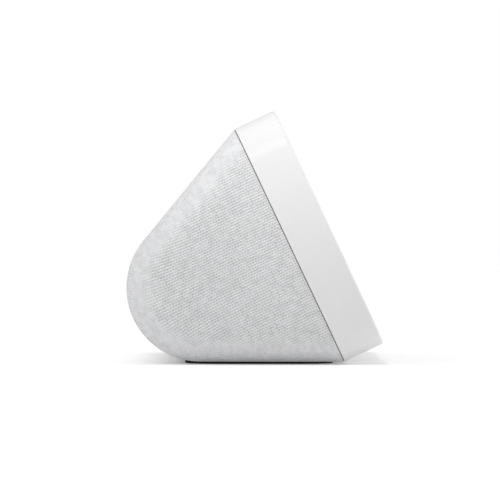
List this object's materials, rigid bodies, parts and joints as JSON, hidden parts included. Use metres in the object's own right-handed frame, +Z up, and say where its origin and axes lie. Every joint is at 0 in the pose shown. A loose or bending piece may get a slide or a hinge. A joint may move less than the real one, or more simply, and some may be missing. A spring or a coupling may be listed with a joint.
{
  "type": "smart speaker",
  "caption": "Compact smart speaker with a tilted touchscreen, a white front band, a knit-covered rounded wedge body and a rubber foot.",
  "frame": {"origin": "under the middle of the whole speaker, on the surface that it stands on", "axes": "+Z up; the screen faces -Y and leans back by 25.3 degrees; +X is to the right seen from the front"},
  "size_m": [0.147, 0.0828, 0.0815],
  "materials": {
    "white_plastic": "satin",
    "knit_fabric": "matte",
    "grey_plastic": "matte",
    "black_plastic": "satin",
    "black_rubber": "matte",
    "grey_rubber": "matte",
    "cover_glass": "polished",
    "white_print": "gloss",
    "display_panel": "gloss",
    "lens_glass": "polished",
    "circuit_board": "satin",
    "steel": "satin",
    "aluminium": "satin",
    "magnet_iron": "matte",
    "coil_copper": "satin",
    "cone_paper": "matte",
    "amber_film": "gloss",
    "spider_cloth": "matte"
  },
  "bodies": {
    "housing": {"front_bezel": "white_plastic", "rear_housing": "grey_plastic", "fabric_cover": "knit_fabric", "seam_gasket": "grey_rubber", "base_plate": "black_plastic", "rubber_foot": "black_rubber", "cover_glass": "cover_glass", "border_mask": "white_print", "lcd_panel": "display_panel", "backlight_unit": "grey_plastic", "display_backplate": "aluminium", "display_flex": "amber_film", "mute_switch": "black_plastic", "volume_down_switch": "black_plastic", "volume_up_switch": "black_plastic", "button_board": "circuit_board", "button_flex": "amber_film", "camera_module": "black_plastic", "camera_lens": "lens_glass", "light_sensor": "black_plastic", "microphone_left": "steel", "microphone_right": "steel", "main_board": "circuit_board", "shield_can": "aluminium", "thermal_pad": "grey_plastic", "heat_sink": "aluminium", "antenna_left": "amber_film", "antenna_right": "amber_film", "dc_inlet_ring": "black_plastic", "dc_jack": "black_plastic", "jack_board": "circuit_board", "power_lead": "black_rubber", "speaker_enclosure": "black_plastic", "speaker_lead": "black_rubber", "speaker_gasket": "black_rubber", "speaker_basket": "steel", "speaker_top_plate": "steel", "speaker_magnet": "magnet_iron", "speaker_yoke": "steel", "spider": "spider_cloth", "surround": "black_rubber", "base_screw_1": "steel", "chassis_screw_1": "steel", "speaker_screw_1": "steel", "base_screw_2": "steel", "chassis_screw_2": "steel", "speaker_screw_2": "steel", "base_screw_3": "steel", "chassis_screw_3": "steel", "speaker_screw_3": "steel", "base_screw_4": "steel", "chassis_screw_4": "steel", "speaker_screw_4": "steel"},
    "mute": {"mute_button": "white_plastic"},
    "volume_down": {"volume_down_button": "white_plastic"},
    "volume_up": {"volume_up_button": "white_plastic"},
    "shutter": {"shutter_slider": "white_plastic"},
    "moving_cone": {"speaker_cone": "cone_paper", "voice_coil": "coil_copper", "dust_cap": "cone_paper"}
  },
  "joints": [
    {"name": "mute_press", "type": "slide", "parent": "housing", "child": "mute", "axis": [0, -0.4274, -0.9041], "range_m": [0, 0.0004], "stiffness_N_per_m": 2500, "springref_m": -0.0001},
    {"name": "volume_down_press", "type": "slide", "parent": "housing", "child": "volume_down", "axis": [0, -0.4274, -0.9041], "range_m": [0, 0.0004], "stiffness_N_per_m": 2500, "springref_m": -0.0001},
    {"name": "volume_up_press", "type": "slide", "parent": "housing", "child": "volume_up", "axis": [0, -0.4274, -0.9041], "range_m": [0, 0.0004], "stiffness_N_per_m": 2500, "springref_m": -0.0001},
    {"name": "shutter_slide", "type": "slide", "parent": "housing", "child": "shutter", "axis": [1, 0, 0], "range_m": [0, 0.008]},
    {"name": "cone_travel", "type": "slide", "parent": "housing", "child": "moving_cone", "axis": [0, 1, 0], "range_m": [-0.0015, 0.0015], "stiffness_N_per_m": 900, "deforming": ["spider", "surround"]}
  ]
}
